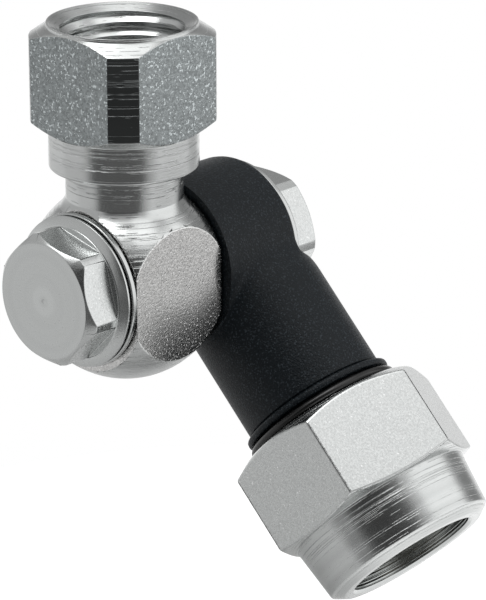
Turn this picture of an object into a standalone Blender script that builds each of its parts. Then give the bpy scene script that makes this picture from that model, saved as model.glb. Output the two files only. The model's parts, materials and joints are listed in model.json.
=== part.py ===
"""A swivel joint for a hose: threaded inlet body, hollow pivot bolt, black arm and hose nut.

Sizes are in millimetres and become metres in the meshes.
The part's origin is the middle of the inlet's mouth, with +Z up and out of it. The bolt's
axis crosses the inlet's axis below it, and runs along +Y from the bolt's head to the arm.
A height in the inlet body is counted from the bolt's axis, and so is a distance along the
arm's branch. A place along the bolt is its y. A profile is a list of (radius, place) pairs.
"""

import math

import bmesh
import bpy
from mathutils import Vector

MM = 0.001
FULL_TURN = 2 * math.pi
FINE = 48
SMALL = 28
O_RING_SIDES = 6
ARC_STEPS = 3
PAST = 1.0

# Gaps between pieces that seat on each other, and round seals
SEAT_GAP = 0.3
SEAL_GAP = 0.2
FACING = 0.02

# Inlet body: block
BLOCK_AF = 20.0
BLOCK_CORNER_R = 12.25
BLOCK_TOP = 34.8
BLOCK_RIM_R = 9.95
BLOCK_RIM = 0.5
BLOCK_CHAMFER = math.radians(30)
BLOCK_FOOT = 20.3
FOOT_CHAMFER = math.radians(31)

# Inlet body: collar, neck and thread bore
COLLAR_R = 9.95
COLLAR_FOOT = 15.25
COLLAR_EDGE = 0.3
NECK_R = 7.8
NECK_BAND_R = 8.5
NECK_BAND_TOP = 11.05
THREAD_R = 8.6
THREAD_HEIGHT = 0.8
THREAD_PITCH = 1.814
THREAD_RIDGES = 5
THREAD_LEAD = 2.4
THREAD_DEPTH = 12.0
COUNTERSINK_R = 9.75
COUNTERSINK_FOOT_R = 8.15
COUNTERSINK = math.radians(27)
INLET_PASSAGE_R = 4.5
DRILL_POINT = math.radians(59)

# Inlet body: ball block
BALL_R = 13.45
BALL_DROP = 0.5
BALL_AF = 20.0
BALL_FACE = 8.0
BALL_STEPS = 12

# Hollow bolt
SHANK_R = 6.3
WAIST_R = 4.9
HEX_AF = 16.0
HEX_CORNER_R = 8.9
HEX_FACE_R = 7.8
HEX_CHAMFER = 1.1
HEX_HEIGHT = 4.9
BOLT_HEAD_TURN = math.radians(14.5)
FLANGE_R = 10.2
FLANGE_RIM = 0.35
FLANGE_CONE = 0.55
CONE_R = 9.1
CENTRE_MARK_R = 0.7
CENTRE_MARK_DEPTH = 0.35
BOLT_BORE_R = 2.75
CROSS_HOLE_R = 2.0
BALL_WAIST_WIDTH = 8.0
ARM_WAIST_WIDTH = 5.4
GLAND_R = 4.7
GLAND_WIDTH = 2.0
O_RING_SECTION = 1.5
BALL_GLAND_Y = 6.2
INNER_GLAND_Y = 10.9
OUTER_GLAND_Y = 19.6
STUD_R = 5.0
STUD_LENGTH = 4.9
STUD_EDGE = 0.5

# Washers on the bolt
WASHER_T = 0.8
SEAL_WASHER_R = 10.4
OUTER_WASHER_R = 10.9

# Cap nut
CAP_HEX_TURN = math.radians(4)
CAP_CONE = 0.75
CAP_WALL = 1.35
CAP_SEAL_R = 6.3
CAP_SEAL_T = 0.7

# Arm: head
ARM_TURN = math.radians(135)
HEAD_R = 11.5
HEAD_THICKNESS = 13.1
HEAD_EDGE = 0.5
SPOT_FACE_R = 12.0
RECESS_R = 9.5
RECESS_DEPTH = 1.2
PORT_Y = 15.3
PORT_R = 2.9

# Arm: branch
BRANCH_OVERHANG = 0.79
BRANCH_FALL = 0.15
DOME_END = 11.0
DOME_LENGTH = 12.5
DOME_STEPS = 8
BRANCH_END = 25.6
RIM_GROOVE = 0.2
RIM_START = 26.0
RIM_HEIGHT = 0.85
RIM_ROUND = 0.4
RIM_END = 27.0
SPIGOT_RELIEF = 0.4
SPIGOT_WALL = 2.6
SPIGOT_END = 38.1
SPIGOT_EDGE = 0.5
BRANCH_BORE_R = 5.0
BRANCH_BORE_START = 15.0
BRANCH_BORE_TIP = 12.0
TAIL_SEAT_START = 24.0

# Dust ring and hose nut
DUST_RING_SECTION = 1.2
HOSE_NUT_AF = 27.0
HOSE_NUT_WALL = 3.0
HOSE_NUT_TURN = math.radians(54.43)
HOSE_NUT_START = 28.85
HOSE_NUT_FACE_STEP = 0.7
HOSE_NUT_CHAMFER = math.radians(30)
HEX_END = 42.4
HEX_END_CHAMFER = math.radians(18)
TAPER_STEP = 0.6
TAPER_FALL = 0.7
TAPER_END = 49.7
MOUTH = 50.67
MOUTH_SHOULDER = 1.55
MOUTH_WALL = 4.55
MOUTH_EDGE = 0.37
NUT_THREAD_END = 41.8
CLAMP_CONE = math.radians(40)

# Hose tail and clamp ring
TAIL_FLANGE_T = 0.9
TAIL_FLANGE_GAP = 0.5
TAIL_BARB_STEP = 1.1
TAIL_BARB_HEIGHT = 0.6
TAIL_BARBS = 3
TAIL_BARB_EDGE = 0.1
TAIL_END = 46.5
TAIL_WALL = 1.6
TAIL_GLAND = 29.0
TAIL_GLAND_DEPTH = 1.6
CLAMP_RING_WALL = 1.1
CLAMP_RING_TIP_WALL = 0.4
CLAMP_RING_LEAD = 0.2
CLAMP_SLIT = 1.0

# Places that follow from the sizes above
SEAL_WASHER_Y = -BALL_FACE - SEAT_GAP
FLANGE_Y = SEAL_WASHER_Y - WASHER_T - SEAT_GAP
HEX_Y = FLANGE_Y - FLANGE_RIM - FLANGE_CONE
BOLT_FACE_Y = HEX_Y - HEX_HEIGHT
HEAD_NEAR_Y = BALL_FACE + SEAT_GAP
HEAD_FAR_Y = HEAD_NEAR_Y + HEAD_THICKNESS
OUTER_WASHER_Y = HEAD_FAR_Y + SEAT_GAP
SHOULDER_Y = OUTER_WASHER_Y + WASHER_T
CAP_Y = SHOULDER_Y + SEAT_GAP
STUD_END_Y = SHOULDER_Y + STUD_LENGTH
CAP_FLOOR_Y = STUD_END_Y + SEAT_GAP
CAP_FACE_Y = CAP_FLOOR_Y + CAP_WALL
CAP_HEX_Y = CAP_Y + FLANGE_RIM + CAP_CONE
PIVOT_BORE_R = SHANK_R + SEAT_GAP
HOSE_NUT_R = HOSE_NUT_AF / 2
HOSE_NUT_FACE_R = HOSE_NUT_R - HOSE_NUT_FACE_STEP
HOSE_NUT_BORE_R = HOSE_NUT_R - HOSE_NUT_WALL
TAPER_START_R = HOSE_NUT_R - TAPER_STEP
TAPER_END_R = TAPER_START_R - TAPER_FALL
MOUTH_RIM_R = TAPER_END_R - MOUTH_SHOULDER
MOUTH_R = HOSE_NUT_R - MOUTH_WALL
MOUTH_LAND_R = MOUTH_R + MOUTH_EDGE
SPIGOT_R = HOSE_NUT_BORE_R - SEAT_GAP
SPIGOT_RELIEF_R = SPIGOT_R - SPIGOT_RELIEF
BRANCH_R = SPIGOT_R - BRANCH_FALL
BRANCH_Y = HEAD_NEAR_Y + BRANCH_R - BRANCH_OVERHANG
RIM_GROOVE_R = BRANCH_R - RIM_GROOVE
RIM_R = BRANCH_R + RIM_HEIGHT
CLAMP_RING_BORE_R = SPIGOT_R - CLAMP_RING_WALL
TAIL_SEAT_R = SPIGOT_R - SPIGOT_WALL
TAIL_ROOT_R = TAIL_SEAT_R - SEAT_GAP
TAIL_GLAND_R = TAIL_ROOT_R - TAIL_GLAND_DEPTH
TAIL_BARB_R = TAIL_ROOT_R - TAIL_BARB_STEP
TAIL_VALLEY_R = TAIL_BARB_R - TAIL_BARB_HEIGHT
TAIL_BORE_R = TAIL_VALLEY_R - TAIL_WALL
TAIL_FLANGE = SPIGOT_END + SEAT_GAP
TAIL_FLANGE_R = CLAMP_RING_BORE_R - TAIL_FLANGE_GAP

FINISHES = {
    "nickel_plate": {"colour": (0.66, 0.66, 0.65), "roughness": 0.30, "metallic": 1.0},
    "turned_steel": {"colour": (0.62, 0.62, 0.61), "roughness": 0.25, "metallic": 1.0},
    "brass": {"colour": (0.62, 0.45, 0.20), "roughness": 0.30, "metallic": 1.0},
    "black_coat": {"colour": (0.012, 0.014, 0.015), "roughness": 0.55, "metallic": 0.0},
    "black_rubber": {"colour": (0.010, 0.010, 0.010), "roughness": 0.35, "metallic": 0.0},
    "slide_ring": {"colour": (0.75, 0.75, 0.72), "roughness": 0.50, "metallic": 0.0},
}


def clear_scene():
    for thing in list(bpy.data.objects):
        bpy.data.objects.remove(thing, do_unlink=True)


def make_collection(name):
    collection = bpy.data.collections.new(name)
    bpy.context.scene.collection.children.link(collection)
    return collection


def make_axis(name, place, turn=(0.0, 0.0, 0.0), parent=None):
    """An empty whose local Z is a line that pieces are turned about."""
    axis = bpy.data.objects.new(name, None)
    axis.location = Vector(place) * MM
    axis.rotation_euler = turn
    axis.parent = parent
    PARTS.objects.link(axis)
    return axis


def dress(mesh, finish):
    material = bpy.data.materials.get(finish)
    if material is None:
        look = FINISHES[finish]
        material = bpy.data.materials.new(finish)
        material.use_nodes = True
        shader = material.node_tree.nodes["Principled BSDF"]
        shader.inputs["Base Color"].default_value = (*look["colour"], 1.0)
        shader.inputs["Roughness"].default_value = look["roughness"]
        shader.inputs["Metallic"].default_value = look["metallic"]
        material.diffuse_color = (*look["colour"], 1.0)
    mesh.materials.append(material)


def place_object(name, mesh, axis, finish=None):
    """A part where it has a finish, and a hidden cutter where it has none."""
    thing = bpy.data.objects.new(name, mesh)
    thing.parent = axis
    if finish:
        PARTS.objects.link(thing)
        dress(mesh, finish)
    else:
        CUTTERS.objects.link(thing)
        thing.hide_render = True
        thing.display_type = "WIRE"
    return thing


def turned(name, profile, axis, finish=None, steps=FINE):
    """A profile turned about the axis, closed on itself unless both its ends are on the axis."""
    mesh = bpy.data.meshes.new(name)
    points = [(radius * MM, 0.0, place * MM) for radius, place in profile]
    edges = [(i, i + 1) for i in range(len(points) - 1)]
    if profile[0][0] > 0:
        edges.append((len(points) - 1, 0))
    mesh.from_pydata(points, edges, [])
    thing = place_object(name, mesh, axis, finish)
    screw = thing.modifiers.new("turned", "SCREW")
    screw.axis = "Z"
    screw.angle = FULL_TURN
    screw.steps = steps
    screw.render_steps = steps
    screw.use_merge_vertices = True
    screw.merge_threshold = 0.000001
    return thing


def ring(name, inner, outer, low, high, axis, finish, steps=FINE):
    """A plain washer."""
    return turned(name, [(outer, high), (outer, low), (inner, low), (inner, high)], axis, finish, steps)


def rod(name, radius, low, high, axis, steps=FINE):
    """A cutter for a round hole."""
    return turned(name, [(0.0, high), (radius, high), (radius, low), (0.0, low)], axis, steps=steps)


def o_ring(name, inner, section, middle, axis):
    """A ring of round section, by its inner radius."""
    bpy.ops.mesh.primitive_torus_add(
        major_radius=(inner + section / 2) * MM,
        minor_radius=section / 2 * MM,
        major_segments=SMALL,
        minor_segments=O_RING_SIDES,
    )
    made = bpy.context.object
    thing = place_object(name, made.data, axis, "black_rubber")
    bpy.data.objects.remove(made)
    thing.data.name = name
    thing.data.shade_smooth()
    thing.location.z = middle * MM
    return thing


def cut(part, cutter, operation="DIFFERENCE"):
    boolean = part.modifiers.new(cutter.name, "BOOLEAN")
    boolean.operation = operation
    boolean.object = cutter


def polygon(sides, across_flats, turn=0.0):
    """The corners of an even-sided wrench outline."""
    corner_r = across_flats / 2 / math.cos(math.pi / sides)
    angles = [turn + FULL_TURN * i / sides for i in range(sides)]
    return [(corner_r * math.cos(a), corner_r * math.sin(a)) for a in angles]


def mill(part, name, outline, low, high, axis):
    """Cuts the part back to an outline between two places, as a milling cutter goes round it."""
    reach = 2 * BALL_R
    frame = [(reach, reach), (-reach, reach), (-reach, -reach), (reach, -reach)]
    curve = bpy.data.curves.new(name, "CURVE")
    curve.dimensions = "2D"
    curve.fill_mode = "BOTH"
    curve.extrude = (high - low) / 2 * MM
    for corners in (frame, outline):
        spline = curve.splines.new("POLY")
        spline.points.add(len(corners) - 1)
        spline.use_cyclic_u = True
        for point, (x, y) in zip(spline.points, corners):
            point.co = (x * MM, y * MM, 0.0, 1.0)
    guide = bpy.data.objects.new(name, curve)
    CUTTERS.objects.link(guide)
    graph = bpy.context.evaluated_depsgraph_get()
    mesh = bpy.data.meshes.new_from_object(guide.evaluated_get(graph))
    bpy.data.objects.remove(guide)
    shape = bmesh.new()
    shape.from_mesh(mesh)
    bmesh.ops.remove_doubles(shape, verts=shape.verts, dist=0.000001)
    bmesh.ops.recalc_face_normals(shape, faces=shape.faces)
    shape.to_mesh(mesh)
    shape.free()
    cutter = place_object(name, mesh, axis)
    cutter.location.z = (low + high) / 2 * MM
    cut(part, cutter)


def arc(centre_r, centre, radius, start, end, steps=ARC_STEPS):
    """Profile points on an arc. An angle of 0 points out from the axis, and 90 degrees up it."""
    angles = [math.radians(start + (end - start) * i / steps) for i in range(steps + 1)]
    return [(centre_r + radius * math.cos(a), centre + radius * math.sin(a)) for a in angles]


def groove(outer_r, floor_r, middle, width):
    """Profile points of a square groove, from its top down."""
    top, foot = middle + width / 2, middle - width / 2
    return [(outer_r, top), (floor_r, top), (floor_r, foot), (outer_r, foot)]


def inlet_thread():
    """Profile points of the inlet's thread from its foot up, as rings in place of its helix."""
    crest_r = THREAD_R - THREAD_HEIGHT
    crests = [BLOCK_TOP - THREAD_LEAD - THREAD_PITCH * i for i in reversed(range(THREAD_RIDGES))]
    ridges = []
    for crest in crests:
        ridges += [(THREAD_R, crest - THREAD_PITCH / 2), (crest_r, crest)]
    return [*ridges, (THREAD_R, crests[-1] + THREAD_PITCH / 2)]


def inlet_body(axis, bolt_axis):
    rim_foot = BLOCK_TOP - BLOCK_RIM
    corner_top = rim_foot - (BLOCK_CORNER_R - BLOCK_RIM_R) * math.tan(BLOCK_CHAMFER)
    corner_foot = BLOCK_FOOT + (BLOCK_CORNER_R - BLOCK_AF / 2) * math.tan(FOOT_CHAMFER)
    collar_top = BLOCK_FOOT - (BLOCK_AF / 2 - COLLAR_R) * math.tan(FOOT_CHAMFER)
    thread_foot = BLOCK_TOP - THREAD_DEPTH
    drill_foot = thread_foot - (THREAD_R - INLET_PASSAGE_R) / math.tan(DRILL_POINT)
    countersink_foot = BLOCK_TOP - (COUNTERSINK_R - COUNTERSINK_FOOT_R) * math.tan(COUNTERSINK)
    band = math.degrees(math.acos(NECK_BAND_R / BALL_R))
    profile = [
        (0.0, 0.0),
        (INLET_PASSAGE_R, 0.0),
        (INLET_PASSAGE_R, drill_foot),
        (THREAD_R, thread_foot),
        *inlet_thread(),
        (COUNTERSINK_FOOT_R, countersink_foot),
        (COUNTERSINK_R, BLOCK_TOP),
        (BLOCK_RIM_R, BLOCK_TOP),
        (BLOCK_RIM_R, rim_foot),
        (BLOCK_CORNER_R, corner_top),
        (BLOCK_CORNER_R, corner_foot),
        (COLLAR_R, collar_top),
        (COLLAR_R, COLLAR_FOOT + COLLAR_EDGE),
        (COLLAR_R - COLLAR_EDGE, COLLAR_FOOT),
        (NECK_R, COLLAR_FOOT),
        (NECK_R, NECK_BAND_TOP),
        *arc(0.0, -BALL_DROP, BALL_R, band, -90, BALL_STEPS)[:-1],
        (0.0, -BALL_DROP - BALL_R),
    ]
    body = turned("inlet_body", profile, axis, "nickel_plate")
    neck_middle = (NECK_BAND_TOP + COLLAR_FOOT) / 2
    mill(body, "block_flats", polygon(4, BLOCK_AF, math.pi / 4), neck_middle, BLOCK_TOP + PAST, axis)
    half = BALL_AF / 2
    ball_outline = [(half, BALL_FACE), (-half, BALL_FACE), (-half, -BALL_FACE), (half, -BALL_FACE)]
    mill(body, "ball_flats", ball_outline, -BALL_DROP - BALL_R - PAST, neck_middle, axis)
    cut(body, rod("ball_bore", PIVOT_BORE_R, -BALL_FACE - PAST, BALL_FACE + PAST, bolt_axis))
    return body


def hex_head_side(face, foot, turn_out):
    """Profile points of a hex head's blank, from its foot to its marked face."""
    return [
        (HEX_CORNER_R, foot),
        (HEX_CORNER_R, face - turn_out * HEX_CHAMFER),
        (HEX_FACE_R, face),
        (CENTRE_MARK_R, face),
        (0.0, face - turn_out * CENTRE_MARK_DEPTH),
    ]


def hollow_bolt(axis):
    profile = [
        (0.0, -BALL_WAIST_WIDTH / 2),
        (BOLT_BORE_R, -BALL_WAIST_WIDTH / 2),
        (BOLT_BORE_R, STUD_END_Y),
        (STUD_R - STUD_EDGE, STUD_END_Y),
        (STUD_R, STUD_END_Y - STUD_EDGE),
        (STUD_R, SHOULDER_Y),
        (SHANK_R, SHOULDER_Y),
        *groove(SHANK_R, GLAND_R, OUTER_GLAND_Y, GLAND_WIDTH),
        *groove(SHANK_R, WAIST_R, PORT_Y, ARM_WAIST_WIDTH),
        *groove(SHANK_R, GLAND_R, INNER_GLAND_Y, GLAND_WIDTH),
        *groove(SHANK_R, GLAND_R, BALL_GLAND_Y, GLAND_WIDTH),
        *groove(SHANK_R, WAIST_R, 0.0, BALL_WAIST_WIDTH),
        (SHANK_R, FLANGE_Y),
        (FLANGE_R, FLANGE_Y),
        (FLANGE_R, FLANGE_Y - FLANGE_RIM),
        (CONE_R, HEX_Y),
        *hex_head_side(BOLT_FACE_Y, HEX_Y, -1),
    ]
    bolt = turned("hollow_bolt", profile, axis, "turned_steel", SMALL)
    outline = polygon(6, HEX_AF, BOLT_HEAD_TURN)
    mill(bolt, "bolt_hex", outline, BOLT_FACE_Y - PAST, HEX_Y - FACING, axis)
    for place, station in ((0.0, "ball"), (PORT_Y, "arm")):
        for turn, way in ((0.0, "up"), (math.pi / 2, "across")):
            hole_axis = make_axis(f"{station}_hole_{way}", (0, 0, place), (math.pi / 2, 0, turn), axis)
            cut(bolt, rod(f"{station}_holes_{way}", CROSS_HOLE_R, -SHANK_R, SHANK_R, hole_axis, SMALL // 2))
    return bolt


def cap_nut(axis):
    seal_pocket = CAP_Y + CAP_SEAL_T + SEAT_GAP
    profile = [
        *reversed(hex_head_side(CAP_FACE_Y, CAP_HEX_Y, 1)),
        (CONE_R, CAP_HEX_Y),
        (FLANGE_R, CAP_Y + FLANGE_RIM),
        (FLANGE_R, CAP_Y),
        (CAP_SEAL_R + SEAT_GAP, CAP_Y),
        (CAP_SEAL_R + SEAT_GAP, seal_pocket),
        (STUD_R + SEAT_GAP, seal_pocket),
        (STUD_R + SEAT_GAP, CAP_FLOOR_Y),
        (0.0, CAP_FLOOR_Y),
    ]
    nut = turned("cap_nut", profile, axis, "turned_steel", SMALL)
    mill(nut, "cap_hex", polygon(6, HEX_AF, CAP_HEX_TURN), CAP_HEX_Y + FACING, CAP_FACE_Y + PAST, axis)
    return nut


def bolt_rings(axis):
    """The washers and seals that sit on the bolt."""
    ring(
        "bolt_seal_washer",
        PIVOT_BORE_R,
        SEAL_WASHER_R,
        SEAL_WASHER_Y - WASHER_T,
        SEAL_WASHER_Y,
        axis,
        "turned_steel",
    )
    recess_floor = HEAD_NEAR_Y + RECESS_DEPTH
    ring(
        "inner_thrust_washer",
        PIVOT_BORE_R,
        RECESS_R - SEAT_GAP,
        HEAD_NEAR_Y,
        recess_floor - SEAT_GAP,
        axis,
        "slide_ring",
        SMALL,
    )
    ring(
        "outer_thrust_washer",
        PIVOT_BORE_R,
        OUTER_WASHER_R,
        OUTER_WASHER_Y,
        SHOULDER_Y,
        axis,
        "turned_steel",
    )
    ring(
        "cap_nut_seal",
        STUD_R + SEAL_GAP,
        CAP_SEAL_R,
        CAP_Y,
        CAP_Y + CAP_SEAL_T,
        axis,
        "black_rubber",
        SMALL,
    )
    o_ring("ball_o_ring", GLAND_R + SEAL_GAP, O_RING_SECTION, BALL_GLAND_Y, axis)
    o_ring("arm_o_ring_inner", GLAND_R + SEAL_GAP, O_RING_SECTION, INNER_GLAND_Y, axis)
    o_ring("arm_o_ring_outer", GLAND_R + SEAL_GAP, O_RING_SECTION, OUTER_GLAND_Y, axis)


def dome_radius(distance):
    """The branch's radius where its upper end rounds off."""
    return BRANCH_R * math.sqrt(1 - ((DOME_END - distance) / DOME_LENGTH) ** 2)


def branch_profile():
    """The arm's branch as a solid bar, from its spigot's end to its dome."""
    dome_tip = DOME_END - DOME_LENGTH
    angles = [math.pi / 2 * i / DOME_STEPS for i in range(1, DOME_STEPS)]
    dome = [DOME_END - DOME_LENGTH * math.sin(angle) for angle in angles]
    return [
        (0.0, SPIGOT_END),
        (SPIGOT_R - SPIGOT_EDGE, SPIGOT_END),
        (SPIGOT_R, SPIGOT_END - SPIGOT_EDGE),
        (SPIGOT_R, HOSE_NUT_START),
        (SPIGOT_RELIEF_R, HOSE_NUT_START),
        (SPIGOT_RELIEF_R, RIM_END),
        *arc(RIM_R - RIM_ROUND, RIM_END - RIM_ROUND, RIM_ROUND, 90, 0),
        *arc(RIM_R - RIM_ROUND, RIM_START + RIM_ROUND, RIM_ROUND, 0, -90),
        (RIM_GROOVE_R, RIM_START),
        (RIM_GROOVE_R, (RIM_START + BRANCH_END) / 2),
        (BRANCH_R, BRANCH_END),
        (BRANCH_R, DOME_END),
        *[(dome_radius(distance), distance) for distance in dome],
        (0.0, dome_tip),
    ]


def arm(axis, bolt_axis):
    body = turned("arm", branch_profile(), axis, "black_coat")
    cast_far_y = HEAD_FAR_Y + FACING
    head_profile = [
        (0.0, cast_far_y),
        *arc(HEAD_R - HEAD_EDGE, cast_far_y - HEAD_EDGE, HEAD_EDGE, 90, 0),
        (HEAD_R, HEAD_NEAR_Y - FACING),
        (0.0, HEAD_NEAR_Y - FACING),
    ]
    cut(body, turned("arm_head", head_profile, bolt_axis), "UNION")
    outside = BRANCH_R + PAST
    cut(body, rod("far_spot_face", SPOT_FACE_R, HEAD_FAR_Y, BRANCH_Y + outside, bolt_axis))
    cut(body, rod("near_spot_face", SPOT_FACE_R, BRANCH_Y - outside, HEAD_NEAR_Y, bolt_axis))
    pivot_bore = [
        (0.0, HEAD_FAR_Y + PAST),
        (PIVOT_BORE_R, HEAD_FAR_Y + PAST),
        (PIVOT_BORE_R, HEAD_NEAR_Y + RECESS_DEPTH),
        (RECESS_R, HEAD_NEAR_Y + RECESS_DEPTH),
        (RECESS_R, HEAD_NEAR_Y - PAST),
        (0.0, HEAD_NEAR_Y - PAST),
    ]
    cut(body, turned("pivot_bore", pivot_bore, bolt_axis))
    branch_bore = [
        (0.0, SPIGOT_END + PAST),
        (TAIL_SEAT_R, SPIGOT_END + PAST),
        (TAIL_SEAT_R, TAIL_SEAT_START),
        (BRANCH_BORE_R, TAIL_SEAT_START),
        (BRANCH_BORE_R, BRANCH_BORE_START),
        (0.0, BRANCH_BORE_TIP),
    ]
    cut(body, turned("branch_bore", branch_bore, axis))
    port = rod("port", PORT_R, 0.0, BRANCH_BORE_START + PAST, axis, SMALL)
    port.location.y = (PORT_Y - BRANCH_Y) * MM
    cut(body, port)
    return body


def hose_tail(axis):
    barbs_foot = TAIL_FLANGE + TAIL_FLANGE_T
    pitch = (TAIL_END - barbs_foot) / TAIL_BARBS
    barbs = []
    for i in range(TAIL_BARBS):
        crest = TAIL_END - (i + 1) * pitch + pitch / 3
        barbs += [
            (TAIL_BARB_R, crest),
            (TAIL_VALLEY_R, crest - TAIL_BARB_EDGE),
            (TAIL_VALLEY_R, crest - pitch / 3),
        ]
    profile = [
        (TAIL_BORE_R, TAIL_END),
        (TAIL_VALLEY_R, TAIL_END),
        *barbs,
        (TAIL_FLANGE_R, barbs_foot),
        (TAIL_FLANGE_R, TAIL_FLANGE),
        (TAIL_ROOT_R, TAIL_FLANGE),
        *groove(TAIL_ROOT_R, TAIL_GLAND_R, TAIL_GLAND, GLAND_WIDTH),
        (TAIL_ROOT_R, TAIL_SEAT_START + SEAT_GAP),
        (TAIL_BORE_R, TAIL_SEAT_START + SEAT_GAP),
    ]
    turned("hose_tail", profile, axis, "brass", SMALL)
    o_ring("tail_o_ring", TAIL_GLAND_R + SEAL_GAP, O_RING_SECTION, TAIL_GLAND, axis)


def clamp_ring(axis):
    straight_end = NUT_THREAD_END - CLAMP_RING_LEAD
    tip_r = CLAMP_RING_BORE_R + CLAMP_RING_TIP_WALL
    tip = straight_end + (SPIGOT_R - tip_r) / math.tan(CLAMP_CONE)
    profile = [
        (CLAMP_RING_BORE_R, tip),
        (tip_r, tip),
        (SPIGOT_R, straight_end),
        (SPIGOT_R, TAIL_FLANGE),
        (CLAMP_RING_BORE_R, TAIL_FLANGE),
    ]
    body = turned("clamp_ring", profile, axis, "brass")
    mesh = bpy.data.meshes.new("clamp_slit")
    shape = bmesh.new()
    bmesh.ops.create_cube(shape, size=1.0)
    size = Vector((CLAMP_SLIT, CLAMP_RING_WALL + 2 * PAST, tip - TAIL_FLANGE + 2 * PAST)) * MM
    bmesh.ops.scale(shape, vec=size, verts=shape.verts)
    shape.to_mesh(mesh)
    shape.free()
    slit = place_object("clamp_slit", mesh, axis)
    slit.location = Vector((0.0, SPIGOT_R - CLAMP_RING_WALL / 2, (tip + TAIL_FLANGE) / 2)) * MM
    cut(body, slit)
    return body


def hose_nut(axis):
    corner_r = HOSE_NUT_R / math.cos(math.pi / 6) + FACING
    near_chamfer = (corner_r - HOSE_NUT_FACE_R) * math.tan(HOSE_NUT_CHAMFER)
    far_chamfer = (corner_r - TAPER_START_R) * math.tan(HEX_END_CHAMFER)
    clamp_end = NUT_THREAD_END + (HOSE_NUT_BORE_R - MOUTH_R) / math.tan(CLAMP_CONE)
    profile = [
        (MOUTH_LAND_R, MOUTH),
        (MOUTH_RIM_R, MOUTH),
        (TAPER_END_R, TAPER_END),
        (TAPER_START_R, HEX_END),
        (corner_r, HEX_END - far_chamfer),
        (corner_r, HOSE_NUT_START + near_chamfer),
        (HOSE_NUT_FACE_R, HOSE_NUT_START),
        (HOSE_NUT_BORE_R + SEAT_GAP, HOSE_NUT_START),
        (HOSE_NUT_BORE_R, HOSE_NUT_START + SEAT_GAP),
        (HOSE_NUT_BORE_R, NUT_THREAD_END),
        (MOUTH_R, clamp_end),
        (MOUTH_R, MOUTH - (MOUTH_LAND_R - MOUTH_R)),
    ]
    nut = turned("hose_nut", profile, axis, "nickel_plate")
    outline = polygon(6, HOSE_NUT_AF, HOSE_NUT_TURN)
    mill(nut, "hose_nut_hex", outline, HOSE_NUT_START - PAST, HEX_END + PAST, axis)
    return nut


def build():
    joint_frame = make_axis("inlet_mouth", (0, 0, 0))
    inlet_axis = make_axis("inlet_axis", (0, 0, -BLOCK_TOP), parent=joint_frame)
    bolt_axis = make_axis("bolt_axis", (0, 0, 0), (-math.pi / 2, 0, 0), inlet_axis)
    arm_axis = make_axis("arm_axis", (0, BRANCH_Y, 0), (0, ARM_TURN, 0), inlet_axis)
    inlet_body(inlet_axis, bolt_axis)
    hollow_bolt(bolt_axis)
    bolt_rings(bolt_axis)
    cap_nut(bolt_axis)
    arm(arm_axis, bolt_axis)
    hose_tail(arm_axis)
    dust_section = DUST_RING_SECTION
    dust_middle = RIM_END + SEAT_GAP + dust_section / 2
    o_ring("dust_ring", SPIGOT_RELIEF_R + SEAL_GAP, dust_section, dust_middle, arm_axis)
    clamp_ring(arm_axis)
    hose_nut(arm_axis)


clear_scene()
PARTS = make_collection("swivel_joint")
CUTTERS = make_collection("cutters")
build()
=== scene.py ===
"""Studio scene of a hose swivel joint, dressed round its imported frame.

The sizes that the classes hold are millimetres, as on a drawing. Each piece is made in the
millimetres of the axis that it is turned about, and its mesh is then put into the frame's
metres. A profile is a list of corners: radius, place along the axis and, on a rounded edge, the
rounding.
"""

from __future__ import annotations

import json
import logging
import math
from contextlib import contextmanager
from dataclasses import dataclass
from enum import Enum
from typing import Callable, Iterator, Sequence

import bmesh
import bpy
from mathutils import Matrix, Vector

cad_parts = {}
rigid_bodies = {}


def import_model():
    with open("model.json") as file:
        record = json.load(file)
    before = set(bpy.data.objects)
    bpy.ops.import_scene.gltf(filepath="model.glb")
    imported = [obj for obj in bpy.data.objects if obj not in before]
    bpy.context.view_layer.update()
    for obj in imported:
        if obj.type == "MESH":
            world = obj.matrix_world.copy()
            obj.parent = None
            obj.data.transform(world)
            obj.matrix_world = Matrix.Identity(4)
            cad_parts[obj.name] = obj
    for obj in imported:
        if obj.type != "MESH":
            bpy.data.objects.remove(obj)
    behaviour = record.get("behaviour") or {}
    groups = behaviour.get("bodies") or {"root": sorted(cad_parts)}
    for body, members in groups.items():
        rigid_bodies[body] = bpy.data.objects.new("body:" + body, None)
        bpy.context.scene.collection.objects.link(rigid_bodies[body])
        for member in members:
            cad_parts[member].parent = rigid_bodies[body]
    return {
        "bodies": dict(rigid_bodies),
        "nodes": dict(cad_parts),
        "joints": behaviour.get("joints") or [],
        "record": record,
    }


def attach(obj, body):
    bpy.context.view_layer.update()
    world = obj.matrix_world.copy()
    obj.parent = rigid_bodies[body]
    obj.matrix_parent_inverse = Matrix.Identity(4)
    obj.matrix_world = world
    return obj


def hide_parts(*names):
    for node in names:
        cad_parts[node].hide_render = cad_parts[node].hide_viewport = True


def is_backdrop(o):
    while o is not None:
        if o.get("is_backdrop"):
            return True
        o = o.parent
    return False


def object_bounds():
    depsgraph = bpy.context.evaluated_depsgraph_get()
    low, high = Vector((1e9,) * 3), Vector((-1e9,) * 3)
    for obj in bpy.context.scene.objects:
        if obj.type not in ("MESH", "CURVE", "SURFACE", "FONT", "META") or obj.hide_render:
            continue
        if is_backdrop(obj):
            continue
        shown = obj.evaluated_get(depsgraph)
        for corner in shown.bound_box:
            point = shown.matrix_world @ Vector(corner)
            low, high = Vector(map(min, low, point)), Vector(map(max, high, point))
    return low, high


LOG = logging.getLogger("swivel_joint")
MM = 0.001
FULL_TURN = 2 * math.pi
TINY = 1e-6

# Facets round a turned piece and round a bore, the degrees of a facet on a rounded edge, and the
# share of a side that such an edge may take.
STEPS, BORE_STEPS, EDGE_STEP, LONGEST_EDGE = 192, 96, 15.0, 0.48

# Millimetres: how far a cutter runs past the metal, the thinnest cut, and what counts as on a face.
PAST, SKIM, NEAR = 1.0, 0.02, 0.05
SAME_WAY = 0.999

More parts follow.
